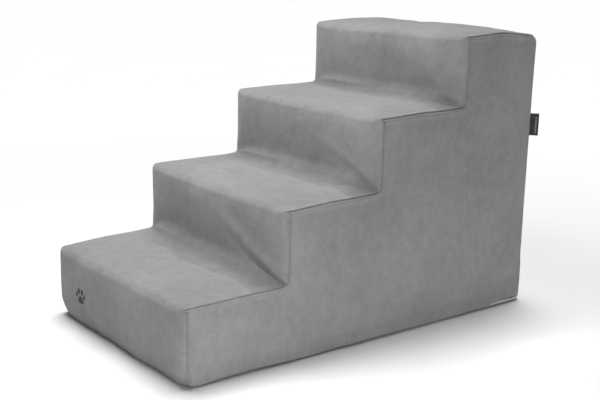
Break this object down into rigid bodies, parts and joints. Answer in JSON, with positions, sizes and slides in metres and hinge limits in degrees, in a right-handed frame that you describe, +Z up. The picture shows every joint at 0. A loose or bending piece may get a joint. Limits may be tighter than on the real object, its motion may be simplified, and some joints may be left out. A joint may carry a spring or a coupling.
{
  "type": "pet stairs",
  "caption": "Foam pet stairs with four rounded steps, in a removable grey velour cover with a hidden zip round its base.",
  "frame": {"origin": "on the floor, under the centre of the base panel", "axes": "+Z up, +Y the way a pet climbs, from the lowest step to the tall back, +X across the width, to the right when facing +Y"},
  "size_m": [0.4082, 0.7251, 0.48],
  "materials": {
    "foam": "open-cell polyurethane foam, matte",
    "cover_velour": "brushed grey velour with a soft, mottled nap",
    "base_fabric": "grey anti-slip fabric with small rubber dots",
    "zip_tape": "pale grey woven zip tape",
    "zip_coil": "pale grey nylon monofilament",
    "zip_metal": "grey enamelled die-cast zinc",
    "label_fabric": "black woven satin",
    "care_fabric": "white satin ribbon",
    "print_ink": "dark grey flat transfer print"
  },
  "bodies": {
    "root": {"foam_slab_1": "foam", "foam_slab_2": "foam", "foam_slab_3": "foam", "foam_slab_4": "foam", "step_strip": "cover_velour", "side_panel_left": "cover_velour", "side_panel_right": "cover_velour", "back_panel": "cover_velour", "base_panel": "base_fabric", "zip_tape_upper": "zip_tape", "zip_tape_lower": "zip_tape", "zip_coil_upper": "zip_coil", "zip_coil_lower": "zip_coil", "zip_top_stops": "zip_metal", "zip_bottom_stop": "zip_metal", "side_label": "label_fabric", "care_label": "care_fabric", "front_print": "print_ink"},
    "slider": {"zip_slider": "zip_metal"},
    "pull": {"zip_pull": "zip_metal"}
  },
  "joints": [
    {"name": "slider_travel", "type": "slide", "parent": "root", "child": "slider", "axis": [0, 1, 0], "range_m": [0, 0.369]},
    {"name": "pull_swing", "type": "hinge", "parent": "slider", "child": "pull", "pos_m": [-0.20205, -0.03175, 0.0075], "axis": [0, 0, 1], "range_deg": [0, 180]}
  ]
}
